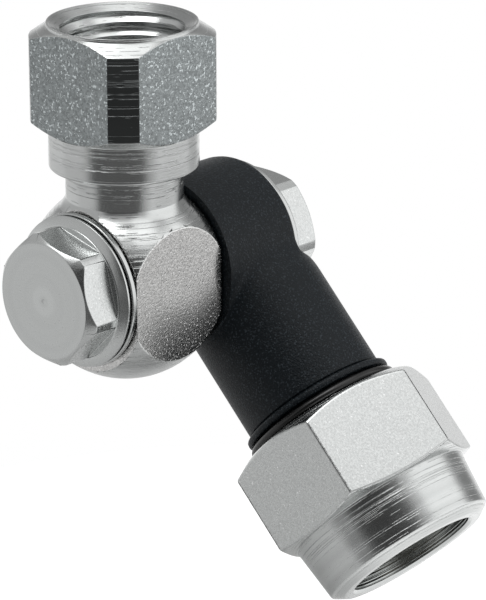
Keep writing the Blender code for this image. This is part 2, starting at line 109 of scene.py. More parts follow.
# The parts of a noise that a tone and a roughness go through.
TONE_ENDS, GRAIN_ENDS = (0.35, 0.65), (0.3, 0.7)

WHITE = (1.0, 1.0, 1.0, 1.0)
NICKEL = (0.65, 0.665, 0.66)

Material = bpy.types.Material
Socket = bpy.types.NodeSocket
Colour = tuple[float, float, float]
Corner = tuple[float, ...]
Point = tuple[float, float]


class Cut(Enum):
    """The ways that two solids are put together."""

    AWAY = "DIFFERENCE"
    TOGETHER = "UNION"


class Face(Enum):
    """How the surface of a face was made."""

    TURNED = "turned on a lathe"
    MILLED = "milled flat"
    COARSE = "milled coarsely"
    BAR_SKIN = "left as the bar's own skin"
    BORED = "bored with a fine feed"
    CAST = "cast and coated"
    MOULDED = "moulded in rubber"


Pick = Callable[[Vector, Vector], Face]
Finishes = dict[Face, Material]


@dataclass(frozen=True)
class TurnAxis:
    """A line that round pieces are turned about.

    Attributes:
        origin: A point on the line, in the frame's metres.
        along: The way that places are counted.
        across: The side that angles are counted from.
    """

    origin: Vector
    along: Vector
    across: Vector

    def matrix(self) -> Matrix:
        """Returns the transform from this axis's millimetres to the frame's metres."""
        basis = Matrix((self.across, self.along.cross(self.across), self.along)).transposed()
        return Matrix.Translation(self.origin) @ basis.to_4x4() @ Matrix.Scale(MM, 4)

    def into(self, other: TurnAxis) -> Matrix:
        """Returns the transform from this axis's millimetres to another's."""
        return other.matrix().inverted() @ self.matrix()


def arc_points(
    corner: Vector, before: Vector, after: Vector, rounding: float = 0.0
) -> list[Point]:
    """Rounds one corner of a profile.

    Args:
        corner: The sharp corner.
        before: The corner ahead of it.
        after: The corner that follows it.
        rounding: The radius of the rounded edge.

    Returns:
        The points of the arc, or the corner alone where it stays sharp.
    """
    if rounding <= 0:
        return [(corner.x, corner.y)]
    back, on = (before - corner).normalized(), (after - corner).normalized()
    half = back.angle(on) / 2
    shorter = min((before - corner).length, (after - corner).length)
    reach = min(rounding / math.tan(half), LONGEST_EDGE * shorter)
    radius = reach * math.tan(half)
    centre = corner + (back + on).normalized() * (radius / math.sin(half))
    start, end = corner + back * reach - centre, corner + on * reach - centre
    turn = start.angle(end)
    steps = max(2, round(math.degrees(turn) / EDGE_STEP))
    points = []
    for i in range(steps + 1):
        share = i / steps
        ray = (start * math.sin((1 - share) * turn) + end * math.sin(share * turn)) / math.sin(turn)
        points.append((centre.x + ray.x, centre.y + ray.y))
    return points


def soften(corners: Sequence[Corner]) -> list[Point]:
    """Rounds the corners of a profile that asks for it.

    Args:
        corners: The profile. It closes on itself unless both ends lie on the axis.

    Returns:
        The rounded profile's points.
    """
    sharp = [Vector(corner[:2]) for corner in corners]
    is_open = corners[0][0] == 0
    points: list[Point] = []
    for i, (radius, place, *rounding) in enumerate(corners):
        if is_open and i in (0, len(corners) - 1):
            points.append((radius, place))
        else:
            after = sharp[(i + 1) % len(sharp)]
            points += arc_points(sharp[i], sharp[i - 1], after, *rounding)
    return points


def arc(centre: Point, radius: float, start: float, end: float, steps: int) -> list[Corner]:
    """Corners on a round stretch of a profile.

    Args:
        centre: The arc's centre, as radius and place.
        radius: The arc's own radius.
        start: Its first angle in degrees, where 0 points away from the axis.
        end: Its last angle in degrees.
        steps: How many straight pieces it has.

    Returns:
        The corners, all sharp.
    """
    angles = [math.radians(start + (end - start) * i / steps) for i in range(steps + 1)]
    return [(centre[0] + radius * math.cos(a), centre[1] + radius * math.sin(a)) for a in angles]


def polygon(sides: int, across_flats: float, turn: float) -> list[Point]:
    """Draws a wrench outline.

    Args:
        sides: The number of its sides.
        across_flats: Its width across the flats.
        turn: The angle of its first corner in degrees.

    Returns:
        Its corners.
    """
    corner_r = across_flats / 2 / math.cos(math.pi / sides)
    angles = [math.radians(turn) + FULL_TURN * i / sides for i in range(sides)]
    return [(corner_r * math.cos(a), corner_r * math.sin(a)) for a in angles]


class Solid:
    """A mesh in the making, in the millimetres of its axis.

    Attributes:
        merged: Points nearer to each other than this become one.
        cutter_reach: How much wider a milling cutter is than its outline.
        probe: The step that a casting's slope is measured over.
        rounds: How often a casting's points are drawn to its shape.
        least_slope: The least slope that such a step counts with.
        broken_from: Edges that turn by more degrees are broken.
        sharp_from: Edges that turn by more degrees are shaded sharp.
        face_weight: How much large faces lead the shading.
    """

    merged = 0.0005
    cutter_reach = 3.0
    probe = 0.01
    rounds = 3
    least_slope = 0.05
    broken_from = 20.0
    sharp_from = 50.0
    face_weight = 80

    def __init__(
        self, name: str, points: Sequence[Sequence[float]], faces: Sequence[Sequence[int]]
    ) -> None:
        """Makes the working object.

        Args:
            name: The piece's name.
            points: Its points.
            faces: Its faces, as indices of the points.
        """
        mesh = bpy.data.meshes.new(name)
        mesh.from_pydata([tuple(p) for p in points], [], [tuple(f) for f in faces])
        self.made = bpy.data.objects.new(name, mesh)
        bpy.context.scene.collection.objects.link(self.made)
        self.clean()

    @classmethod
    def turned(cls, name: str, corners: Sequence[Corner], steps: int = STEPS) -> Solid:
        """Turns a profile about the axis.

        Args:
            name: The piece's name.
            corners: The profile.
            steps: The number of facets round the axis.

        Returns:
            The turned solid.
        """
        profile = soften(corners)
        points: list[Sequence[float]] = []
        rings: list[list[int]] = []
        for radius, place in profile:
            if radius < TINY:
                rings.append([len(points)] * steps)
                points.append((0.0, 0.0, place))
                continue
            rings.append(list(range(len(points), len(points) + steps)))
            angles = [FULL_TURN * i / steps for i in range(steps)]
            points += [(radius * math.cos(a), radius * math.sin(a), place) for a in angles]
        pairs = list(zip(rings, rings[1:]))
        if profile[0][0] > 0:
            pairs.append((rings[-1], rings[0]))
        faces = []
        for upper, lower in pairs:
            for i in range(steps):
                j = (i + 1) % steps
                quad = [upper[i], upper[j], lower[j], lower[i]]
                face = [index for k, index in enumerate(quad) if index != quad[k - 1]]
                if len(face) > 2:
                    faces.append(face)
        return cls(name, points, faces)

    @classmethod
    def milling_path(cls, outline: Sequence[Point], low: float, high: float) -> Solid:
        """Makes the cutter that leaves an outline standing on a bar.

        Args:
            outline: The outline's corners.
            low: The place where the cut starts.
            high: The place where it ends.

        Returns:
            A frame-shaped solid whose hole is the outline.
        """
        count, scales = len(outline), (1.0, cls.cutter_reach)
        top = 2 * count
        points = [(x * k, y * k, z) for z in (low, high) for k in scales for x, y in outline]
        faces = []
        for i in range(count):
            j = (i + 1) % count
            a, b, c, d = i, j, count + j, count + i
            faces += [(a, b, c, d), (d + top, c + top, b + top, a + top)]
            faces += [(a, a + top, b + top, b), (d, c, c + top, d + top)]
        return cls("milling_path", points, faces)

    @contextmanager
    def editing(self) -> Iterator[bmesh.types.BMesh]:
        """Opens the mesh for editing and then writes it back.

        Yields:
            The open mesh.
        """
        shape = bmesh.new()
        shape.from_mesh(self.made.data)
        yield shape
        shape.to_mesh(self.made.data)
        shape.free()

    def clean(self) -> None:
        """Merges doubled points and turns every face outwards."""
        with self.editing() as shape:
            bmesh.ops.remove_doubles(shape, verts=shape.verts, dist=self.merged)
            bmesh.ops.recalc_face_normals(shape, faces=shape.faces)

    def settle(self) -> None:
        """Turns the object's modifiers into its mesh."""
        graph = bpy.context.evaluated_depsgraph_get()
        mesh = bpy.data.meshes.new_from_object(self.made.evaluated_get(graph))
        self.made.modifiers.clear()
        self.made.data = mesh

    def move(self, matrix: Matrix) -> Solid:
        """Moves the mesh, and returns the solid."""
        self.made.data.transform(matrix)
        return self

    def combine(self, other: Solid, how: Cut) -> Solid:
        """Cuts or joins with another solid, which is used up.

        Args:
            other: The solid to cut away or to join.
            how: What is done with it.

        Returns:
            This solid.
        """
        boolean = self.made.modifiers.new("combine", "BOOLEAN")
        boolean.operation = how.value
        boolean.solver = "EXACT"
        boolean.object = other.made
        self.settle()
        bpy.data.objects.remove(other.made)
        return self

    def add_shell(self, other: Solid) -> Solid:
        """Takes another solid in as a closed shell of its own.

        Args:
            other: The solid, which is used up.

        Returns:
            This solid.
        """
        with self.editing() as shape:
            shape.from_mesh(other.made.data)
        bpy.data.objects.remove(other.made)
        return self

    def cast(self, spacing: float, distance: Callable[[Vector], float], end: float) -> Solid:
        """Gives the solid an even mesh that follows a smooth shape, as a casting does.

        Args:
            spacing: The distance between its points.
            distance: How far a point lies outside the shape.
            end: Where along the axis the casting is cut off flat.

        Returns:
            This solid.
        """
        remesh = self.made.modifiers.new("cast", "REMESH")
        remesh.mode = "VOXEL"
        remesh.voxel_size = spacing
        self.settle()
        ways = [Vector(row) * self.probe for row in Matrix.Identity(3)]
        with self.editing() as shape:
            for point in shape.verts:
                for _ in range(self.rounds):
                    here = distance(point.co)
                    slope = Vector([(distance(point.co + way) - here) / self.probe for way in ways])
                    point.co -= slope * (here / max(slope.length_squared, self.least_slope))
            cut = bmesh.ops.bisect_plane(
                shape,
                geom=[*shape.verts, *shape.edges, *shape.faces],
                plane_co=(0.0, 0.0, end),
                plane_no=(0.0, 0.0, 1.0),
                clear_outer=True,
            )
            rim = [item for item in cut["geom_cut"] if isinstance(item, bmesh.types.BMEdge)]
            bmesh.ops.contextual_create(shape, geom=rim)
            bmesh.ops.recalc_face_normals(shape, faces=shape.faces)
        return self

    def mill(self, outline: Sequence[Point], low: float, high: float) -> Solid:
        """Mills the solid down to an outline between two places, and returns it."""
        return self.combine(Solid.milling_path(outline, low, high), Cut.AWAY)

    def break_edges(self, width: float) -> Solid:
        """Breaks the sharp edges, as a deburring pass does.

        Args:
            width: The width of the broken edge.

        Returns:
            This solid.
        """
        self.clean()
        bevel = self.made.modifiers.new("edges", "BEVEL")
        bevel.width = width
        bevel.segments = 2
        bevel.limit_method = "ANGLE"
        bevel.angle_limit = math.radians(self.broken_from)
        bevel.use_clamp_overlap = False
        self.settle()
        return self

    def dress(self, finishes: Finishes, pick: Pick) -> Solid:
        """Gives each face its finish.

        Args:
            finishes: The material of each kind of face.
            pick: Says what kind a face is from its middle and its outward normal.

        Returns:
            This solid.
        """
        mesh = self.made.data
        picks = [pick(face.center, face.normal) for face in mesh.polygons]
        kinds = [kind for kind in finishes if kind in picks]
        mesh.materials.clear()
        for kind in kinds:
            mesh.materials.append(finishes[kind])
        for face, kind in zip(mesh.polygons, picks):
            face.material_index = kinds.index(kind)
        return self

    def cover(self, finish: Material) -> Solid:
        """Gives every face the same finish, and returns the solid."""
        return self.dress({Face.TURNED: finish}, lambda _middle, _normal: Face.TURNED)

    def hand_over(self, axis: TurnAxis, body: str, slot: str, *nodes: str) -> None:
        """Puts the piece into the frame in place of its plain solids.

        Args:
            axis: The axis whose millimetres the mesh is in.
            body: The body that it moves with.
            slot: The record's material slot, which is not used.
            nodes: The nodes that it stands for.
        """
        mesh = self.made.data
        mesh.transform(axis.matrix())
        mesh.shade_smooth()
        mesh.set_sharp_from_angle(angle=math.radians(self.sharp_from))
        weighted = self.made.modifiers.new("shading", "WEIGHTED_NORMAL")
        weighted.weight = self.face_weight
        weighted.keep_sharp = True
        self.settle()
        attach(self.made, body)
        if nodes:
            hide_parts(*nodes)
        LOG.info("%s: %d faces on %s", self.made.name, len(self.made.data.polygons), body)


def milled_sides(outline: Sequence[Point], low: float, high: float) -> Pick:
    """Makes the rule that finds an outline's flats on a milled piece.

    Args:
        outline: The outline that was milled.
        low: Where the flats start.
        high: Where they end.

    Returns:
        A rule for Solid.dress.
    """
    sides = []
    for (x0, y0), (x1, y1) in zip(outline, [*outline[1:], outline[0]]):
        normal = Vector((y1 - y0, x0 - x1, 0.0)).normalized()
        sides.append((normal, normal.dot(Vector((x0, y0, 0.0)))))

    def pick(middle: Vector, normal: Vector) -> Face:
        """Tells a flat from the rest.

        Args:
            middle: The face's middle.
            normal: Its outward normal.

        Returns:
            How the face was made.
        """
        if low <= middle.z <= high:
            for side, distance in sides:
                if normal.dot(side) > SAME_WAY and abs(middle.dot(side) - distance) < NEAR:
                    return Face.MILLED
        return Face.TURNED

    return pick


@dataclass(frozen=True)
class Wiring:
    """Adds nodes to one tree and links them.

    Attributes:
        tree: The node tree to work in.
    """

    tree: bpy.types.NodeTree

    def set(self, socket: Socket, value: object) -> None:
        """Fills a socket.

        Args:
            socket: The socket.
            value: Another socket to link it to, a plain value, or None to leave it.
        """
        if isinstance(value, Socket):
            self.tree.links.new(value, socket)
        elif value is not None:
            socket.default_value = value

    def add(
        self, kind: str, inputs: dict[str | int, object] | None = None, **settings: object
    ) -> bpy.types.Node:
        """Adds a node.

        Args:
            kind: The node's type.
            inputs: Values or sockets for its inputs, by name or number.
            settings: Its own settings.

        Returns:
            The node.
        """
        node = self.tree.nodes.new(kind)
        for name, value in settings.items():
            setattr(node, name, value)
        for key, value in (inputs or {}).items():
            self.set(node.inputs[key], value)
        return node

    def group(self, name: str, **inputs: object) -> bpy.types.bpy_prop_collection:
        """Adds a shader group by its name, and returns its outputs."""
        return self.add("ShaderNodeGroup", inputs, node_tree=bpy.data.node_groups[name]).outputs

    def noise(self, place: object, scale: object, detail: float, rough: float = 0.5) -> Socket:
        """Returns a noise between 0 and 1."""
        inputs = {"Vector": place, "Scale": scale, "Detail": detail, "Roughness": rough}
        return self.add("ShaderNodeTexNoise", inputs).outputs["Fac"]

    def math(self, operation: str, a: object, b: object = None) -> Socket:
        """Returns the result of a Math node on one or two values or sockets."""
        return self.add("ShaderNodeMath", {0: a, 1: b}, operation=operation).outputs[0]

    def vector(self, operation: str, a: object, b: object = None) -> Socket:
        """Returns the result of a Vector Math node, a number for a dot product or a length."""
        node = self.add("ShaderNodeVectorMath", {0: a, 1: b}, operation=operation)
        return node.outputs["Value" if operation in ("DOT_PRODUCT", "LENGTH") else "Vector"]

    def ramp(
        self, value: object, low: float, high: float, to_low: float = 0.0, to_high: float = 1.0
    ) -> Socket:
        """Returns the value mapped from one range to another, held at the ends."""
        inputs = {0: value, 1: low, 2: high, 3: to_low, 4: to_high}
        return self.add("ShaderNodeMapRange", inputs).outputs[0]

    def mix(self, share: object, a: object, b: object) -> Socket:
        """Returns a colour between two, by the share of the second."""
        node = self.add("ShaderNodeMix", {"Factor": share, 6: a, 7: b}, data_type="RGBA")
        return node.outputs[2]


class ShaderGroup:
    """A shader node group with named inputs and outputs."""

    def __init__(self, name: str, inputs: dict[str, object], outputs: Sequence[str]) -> None:
        """Makes the group's shell.

        Args:
            name: The group's name.
            inputs: Each input's name and first value, a number or a vector.
            outputs: The names of its outputs, all of them numbers.
        """
        self.tree = bpy.data.node_groups.new(name, "ShaderNodeTree")
        for label, value in inputs.items():
            kind = "NodeSocketFloat" if isinstance(value, float) else "NodeSocketVector"
            socket = self.tree.interface.new_socket(label, in_out="INPUT", socket_type=kind)
            socket.default_value = value
        for label in outputs:
            self.tree.interface.new_socket(label, in_out="OUTPUT", socket_type="NodeSocketFloat")
        self.wire = Wiring(self.tree)
        self.given = self.tree.nodes.new("NodeGroupInput").outputs
        self.result = self.tree.nodes.new("NodeGroupOutput").inputs

    def put(self, **values: object) -> None:
        """Links the group's outputs, by name."""
        for label, value in values.items():
            self.wire.set(self.result[label], value)


def turning_marks() -> None:
    """Builds the group of the fine rings that a lathe leaves round an axis.

    Its outputs are Height, the rings' relief, Tone, broad dull and bright bands, and Scratch,
    the deepest rings.
    """
    fade_scale, band_scale, deepest = 420.0, 0.12, (0.57, 0.64)
    inputs = {"Origin": (0.0, 0.0, 0.0), "Along": (0.0, 0.0, 1.0), "Spacing": 0.0003, "Break": 0.35}
    group = ShaderGroup("turning_marks", inputs, ("Height", "Tone", "Scratch"))
    wire, given = group.wire, group.given
    place = wire.add("ShaderNodeTexCoord").outputs["Object"]
    arm = wire.vector("SUBTRACT", place, given["Origin"])
    along = wire.vector("DOT_PRODUCT", arm, given["Along"])
    foot = {0: given["Along"], "Scale": along}
    scaled = wire.add("ShaderNodeVectorMath", foot, operation="SCALE")
    radius = wire.vector("LENGTH", wire.vector("SUBTRACT", arm, scaled.outputs[0]))
    parts = {
        0: wire.math("DIVIDE", along, given["Spacing"]),
        1: wire.math("DIVIDE", radius, given["Spacing"]),
        2: wire.math("MULTIPLY", wire.noise(place, fade_scale, 1.0), given["Break"]),
    }
    rings = wire.add("ShaderNodeCombineXYZ", parts).outputs[0]
    fine = wire.noise(rings, 1.0, 2.0, 0.6)
    tone, scratch = wire.noise(rings, band_scale, 1.0), wire.ramp(fine, *deepest)
    group.put(Height=fine, Tone=tone, Scratch=scratch)


def metal_grain() -> None:
    """Builds the group of the fine grain of a plated, milled or coated surface.

    Its outputs are Height, the relief of the grains, and Sparkle, pitted grains with painted
    glints.
    """
    fewest, most, edge, apart = 0.78, 0.48, 12.0, (0.05, 0.02, 0.07)
    group = ShaderGroup("metal_grain", {"Size": 0.00025, "Amount": 0.0}, ("Height", "Sparkle"))
    wire, given = group.wire, group.given
    place = wire.add("ShaderNodeTexCoord").outputs["Object"]
    scale = wire.math("DIVIDE", 1.0, given["Size"])
    glints = wire.noise(wire.vector("ADD", place, apart), scale, 1.0)
    least = wire.ramp(given["Amount"], 0.0, 1.0, fewest, most)
    over = wire.math("MULTIPLY", wire.math("SUBTRACT", glints, least), edge)
    shown = wire.math("GREATER_THAN", given["Amount"], 0.0)
    pits_and_painted_glints = wire.math("MULTIPLY", shown, wire.ramp(over, 0.0, 1.0))
    group.put(Height=wire.noise(place, scale, 2.0, 0.55), Sparkle=pits_and_painted_glints)


@dataclass(frozen=True)
class Finish:
    """A surface with a fine grain, painted glints, and turning marks where it was turned.

    Attributes:
        name: The material's name.
        colour: Its base colour.
        roughness: Its mean roughness.
        grain: The depth of the grain in millimetres.
        size: The size of a grain in millimetres.
        pits_and_painted_glints: The share of grains that are pitted and have painted glints.
        pit: The depth of those grains in millimetres.
        axis: The axis of the turning marks, or None where there are none.
        marks: The depth of the turning marks in millimetres.
        spacing: Their spacing in millimetres.
        breaks: How soon a mark fades along its ring.
        scratch: The extra depth of the deepest marks in millimetres.
        shade: How dark its dullest parts are against the rest.
        gloss: The level of its plain reflection.
        metallic: Whether it is a metal, as 0 or 1.
        spread: How far the roughness goes up and down with the grain.
        painted_glint_gain: How much lighter than the rest the painted glints are.
        painted_glint_floor: The least lightness that painted glints on black get.
        painted_glint_cap: The brightest that painted glints get.
    """

    name: str
    colour: Colour
    roughness: float
    grain: float = 0.0
    size: float = 0.3
    pits_and_painted_glints: float = 0.0
    pit: float = 0.0
    axis: TurnAxis | None = None
    marks: float = 0.0
    spacing: float = 0.3
    breaks: float = 0.35
    scratch: float = 0.0
    shade: float = 1.0
    gloss: float = 0.5
    metallic = 0.0
    spread = 0.1
    painted_glint_gain = 3.0
    painted_glint_floor = 0.018
    painted_glint_cap = 1.0

    def build(self) -> Material:
        """Builds the finish.

        Returns:
            The material.
        """
        material = bpy.data.materials.new(self.name)
        material.use_nodes = True
        wire = Wiring(material.node_tree)
        shader = material.node_tree.nodes["Principled BSDF"].inputs
        grain = wire.group("metal_grain", Size=self.size * MM, Amount=self.pits_and_painted_glints)
        tone = grain["Height"]
        reliefs = [(grain["Height"], self.grain), (grain["Sparkle"], -self.pit)]
        if self.axis:
            rings = wire.group(
                "turning_marks",
                Origin=tuple(self.axis.origin),
                Along=tuple(self.axis.along),
                Spacing=self.spacing * MM,
                Break=self.breaks,
            )
            tone = rings["Tone"]
            reliefs += [(rings["Height"], self.marks), (rings["Scratch"], -self.scratch)]
        height: object = 0.0
        for relief, depth in reliefs:
            height = wire.math("ADD", height, wire.math("MULTIPLY", relief, depth * MM))
        colour: object = (*self.colour, 1.0)
        if self.shade < 1:
            dull = (*(c * self.shade for c in self.colour), 1.0)
            colour = wire.mix(wire.ramp(tone, *TONE_ENDS), dull, colour)
        # Painted glints: the picked grains get a lighter base colour, which stands in for
        # highlights.
        if self.pits_and_painted_glints:
            painted_glint_colour = [min(self.painted_glint_cap, c * self.painted_glint_gain + self.painted_glint_floor) for c in self.colour]
            colour = wire.mix(grain["Sparkle"], colour, (*painted_glint_colour, 1.0))
        ends = (self.roughness * (1 + self.spread), self.roughness * (1 - self.spread))
        bump = wire.add("ShaderNodeBump", {"Height": height, "Distance": 1.0, "Strength": 1.0})
        wire.set(shader["Base Color"], colour)
        wire.set(shader["Metallic"], self.metallic)
        wire.set(shader["Roughness"], wire.ramp(grain["Height"], *GRAIN_ENDS, *ends))
        wire.set(shader["Specular IOR Level"], self.gloss)
        wire.set(shader["Normal"], bump.outputs["Normal"])
        return material


@dataclass(frozen=True)
class MetalFinish(Finish):
    """A bare or plated metal surface."""

    shade: float = 0.86
    metallic = 1.0
    spread = 0.2
    painted_glint_gain = 2.0
    painted_glint_floor = 0.0
    painted_glint_cap = 0.97


@dataclass(frozen=True)
class CoatFinish(Finish):
    """A coating, rubber or plastic, with the plain values of every finish."""


class Axes:
    """The three axes of the joint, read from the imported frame."""

    def __init__(self, frame: dict) -> None:
        """Reads the axes.
        """
        joints = {joint["name"]: joint for joint in frame["joints"]}
        swivel, nut = joints["arm_swivel"], joints["hose_nut_turn"]
        branch_y = swivel["pos_m"][1]
        pivot = Vector((0.0, 0.0, swivel["pos_m"][2]))
        right, up = Vector((1, 0, 0)), Vector((0, 0, 1))
        bolt_way, branch_way = Vector(swivel["axis"]), Vector(nut["axis"]).normalized()
        self.inlet = TurnAxis(pivot, up, right)
        self.bolt = TurnAxis(pivot, bolt_way, right)
        self.branch = TurnAxis(pivot + bolt_way * branch_y, branch_way, bolt_way.cross(branch_way))


def screw_thread() -> bpy.types.NodeTree:
    """Builds the ridge of a screw thread with Geometry Nodes.

    Returns:
        The tree, with named inputs for its sizes and its finish.
    """
    steps, ridge_sides, run_out, point = 96, 4, 0.4, 0.05
    tree = bpy.data.node_groups.new("screw_thread", "GeometryNodeTree")
    face = tree.interface
    face.new_socket("Geometry", in_out="OUTPUT", socket_type="NodeSocketGeometry")
    for label in ("Radius", "Pitch", "Turns", "Ridge"):
        face.new_socket(label, in_out="INPUT", socket_type="NodeSocketFloat")
    face.new_socket("Finish", in_out="INPUT", socket_type="NodeSocketMaterial")
    wire = Wiring(tree)
    given = tree.nodes.new("NodeGroupInput").outputs
    result = tree.nodes.new("NodeGroupOutput").inputs
    sizes = {
        "Resolution": steps,
        "Rotations": given["Turns"],
        "Start Radius": given["Radius"],
        "End Radius": given["Radius"],
        "Height": wire.math("MULTIPLY", given["Pitch"], given["Turns"]),
    }
    spiral = wire.add("GeometryNodeCurveSpiral", sizes)
    upright = wire.add("GeometryNodeSetCurveNormal", {"Curve": spiral.outputs[0]}, mode="Z_UP")
    share = wire.add("GeometryNodeSplineParameter").outputs["Factor"]
    ends = wire.math("MINIMUM", share, wire.math("SUBTRACT", 1.0, share))
    taper = wire.ramp(wire.math("MULTIPLY", ends, given["Turns"]), 0.0, run_out, point, 1.0)
    sized = wire.add("GeometryNodeSetCurveRadius", {"Curve": upright.outputs[0], "Radius": taper})
    section = {"Resolution": ridge_sides, "Radius": given["Ridge"]}
    ridge = wire.add("GeometryNodeCurvePrimitiveCircle", section)
    sweep = {"Curve": sized.outputs[0], "Profile Curve": ridge.outputs[0], "Fill Caps": True}
    tube = wire.add("GeometryNodeCurveToMesh", sweep)
    solid = wire.add("GeometryNodeRealizeInstances", {"Geometry": tube.outputs[0]})
    dressing = {"Geometry": solid.outputs[0], "Material": given["Finish"]}
    wire.set(result["Geometry"], wire.add("GeometryNodeSetMaterial", dressing).outputs[0])
    return tree


@dataclass(frozen=True)
class Thread:
    """A screw thread: one ridge that winds along its axis.

    Attributes:
        name: The piece's name.
        radius: The radius of the ridge's middle.
        pitch: How far the ridge climbs in a turn.
        turns: How many turns it has.
        ridge: Half the width of the ridge.
        start: Where along the axis it starts.
    """

    name: str
    radius: float
    pitch: float
    turns: float
    ridge: float
    start: float

    def wind(self, axis: TurnAxis, finish: Material, body: str, slot: str) -> None:
        """Winds the thread and puts it into the frame.

        Args:
            axis: The axis that it winds about.
            finish: Its material.
            body: The body that it moves with.
            slot: The record's material slot.
        """
        work = Solid(self.name, [], [])
        nodes = work.made.modifiers.new("thread", "NODES")
        nodes.node_group = bpy.data.node_groups.get("screw_thread") or screw_thread()
        inputs = {"Radius": self.radius, "Pitch": self.pitch, "Turns": self.turns}
        inputs |= {"Ridge": self.ridge, "Finish": finish}
        for item in nodes.node_group.interface.items_tree:
            if item.in_out == "INPUT":
                nodes[item.identifier] = inputs[item.name]
        work.settle()
        work.move(Matrix.Translation((0.0, 0.0, self.start)))
        work.hand_over(axis, body, slot)


@dataclass
class Assembly:
    """A sub-assembly of the joint.

    Attributes:
        axes: The joint's axes.
        finishes: The finish of each kind of face.
    """

    axes: Axes
    finishes: Finishes


@dataclass
class InletBody(Assembly):
    """The square block, collar, neck and ball, made from one bar."""

    block_af: float = 20.0
    corner_r: float = 12.25
    top: float = 34.8
    rim_r: float = 9.95
    rim: float = 0.5
    countersink_r: float = 9.75
    countersink_foot_r: float = 8.15
    countersink: float = 27.0
    chamfer: float = 30.0
    foot: float = 20.3
    foot_chamfer: float = 31.0
    thread_r: float = 8.6
    thread_depth: float = 12.0
    thread_lead: float = 0.6
    drill_tip: float = 59.0
    passage_r: float = 4.5
    collar_r: float = 9.95
    collar_foot: float = 15.25
    neck_r: float = 7.8
    band_r: float = 8.5
    band_top: float = 11.05
    ball_r: float = 13.45
    ball_drop: float = 0.5
    ball_face: float = 8.0
    ball_end: float = -89.0
    ball_steps: int = 60
    bore_r: float = 6.6
    edge: float = 0.12

    def profile(self) -> list[Corner]:
        """Draws the turned blank.

        Returns:
            Its profile, with the thread bore.
        """
        slope, foot_slope, sink_slope, tip_slope = (
            math.tan(math.radians(angle))
            for angle in (self.chamfer, self.foot_chamfer, self.countersink, self.drill_tip)
        )
        corner_top = self.top - self.rim - (self.corner_r - self.rim_r) * slope
        countersink = (self.countersink_r - self.countersink_foot_r) * sink_slope
        corner_foot = self.foot + (self.corner_r - self.block_af / 2) * foot_slope
        thread_foot = self.top - self.thread_depth
        drill_foot = thread_foot - (self.thread_r - self.passage_r) / tip_slope
        band = math.degrees(math.acos(self.band_r / self.ball_r))
        return [
            (0.0, 0.0),
            (self.passage_r, 0.0),
            (self.passage_r, drill_foot),
            (self.thread_r, thread_foot),
            (self.thread_r, self.top - countersink - self.thread_lead),
            (self.countersink_foot_r, self.top - countersink, 0.05),
            (self.countersink_r, self.top, 0.05),
            (self.rim_r, self.top, 0.05),
            (self.rim_r, self.top - self.rim, 0.1),
            (self.corner_r, corner_top, 0.15),
            (self.corner_r, corner_foot, 0.15),
            (self.collar_r, self.foot - (self.block_af / 2 - self.collar_r) * foot_slope, 0.2),
            (self.collar_r, self.collar_foot, 0.35),
            (self.neck_r, self.collar_foot, 0.15),
            (self.neck_r, self.band_top, 0.1),
            *arc((0.0, -self.ball_drop), self.ball_r, band, self.ball_end, self.ball_steps),
            (0.0, -self.ball_drop - self.ball_r),
        ]

    def build(self) -> None:
        """Builds the piece and puts it into the frame."""
        blank = Solid.turned("inlet_block", self.profile())
        neck = (self.band_top + self.collar_foot) / 2
        ball_foot = -self.ball_drop - self.ball_r
        square = polygon(4, self.block_af, 45.0)
        half, face = self.block_af / 2, self.ball_face
        ball = [(half, face), (-half, face), (-half, -face), (half, -face)]
        blank.mill(square, neck, self.top + PAST)
        blank.mill(ball, ball_foot - PAST, neck)
        ends = (face + PAST, -face - PAST)
        bore = [(0.0, ends[0]), *((self.bore_r, end) for end in ends), (0.0, ends[1])]
        drill = Solid.turned("bore", bore, BORE_STEPS)
        blank.combine(drill.move(self.axes.bolt.into(self.axes.inlet)), Cut.AWAY)
        on_block = milled_sides(square, neck, self.top)
        on_ball = milled_sides(ball, ball_foot, neck)

        def pick(middle: Vector, normal: Vector) -> Face:
            """Tells the flats of the block, the flats of the ball and the bar's skin apart.

            Args:
                middle: The face's middle.
                normal: Its outward normal.

            Returns:
                How the face was made.
            """
            if on_block(middle, normal) is Face.MILLED:
                return Face.COARSE
            if on_ball(middle, normal) is Face.MILLED:
                return Face.MILLED
            on_skin = abs(middle.xy.length - self.corner_r) < NEAR
            return Face.BAR_SKIN if on_skin and abs(normal.z) < 2 * NEAR else Face.TURNED

        blank.clean()
        blank.dress(self.finishes, pick)
        blank.break_edges(self.edge)
        blank.hand_over(self.axes.inlet, "inlet", "nickel_plate", "inlet_body")


